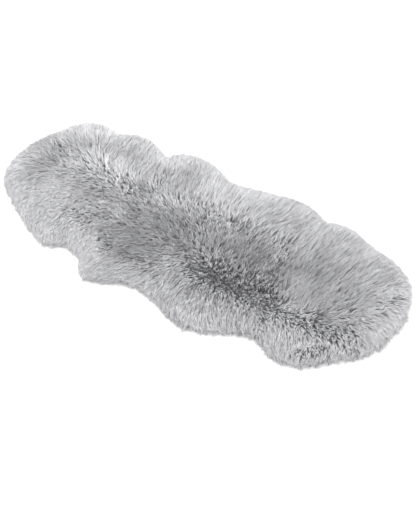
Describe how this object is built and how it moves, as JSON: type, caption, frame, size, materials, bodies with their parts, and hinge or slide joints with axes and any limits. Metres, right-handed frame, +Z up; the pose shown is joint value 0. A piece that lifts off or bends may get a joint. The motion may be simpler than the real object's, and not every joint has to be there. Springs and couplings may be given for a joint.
{
  "type": "sheepskin rug",
  "caption": "Long floor rug of sheepskin pelts joined end to end, wool side up, with a lobed natural outline.",
  "frame": {"origin": "on the floor, below the middle of the rug's bounding box", "axes": "+X along the rug towards the second pelt, +Y across it, +Z up out of the wool"},
  "size_m": [1.8, 0.795, 0.056],
  "materials": {
    "wool": "matte",
    "hide": "matte"
  },
  "bodies": {
    "root": {"first_pelt": "wool", "second_pelt": "wool"}
  },
  "joints": []
}
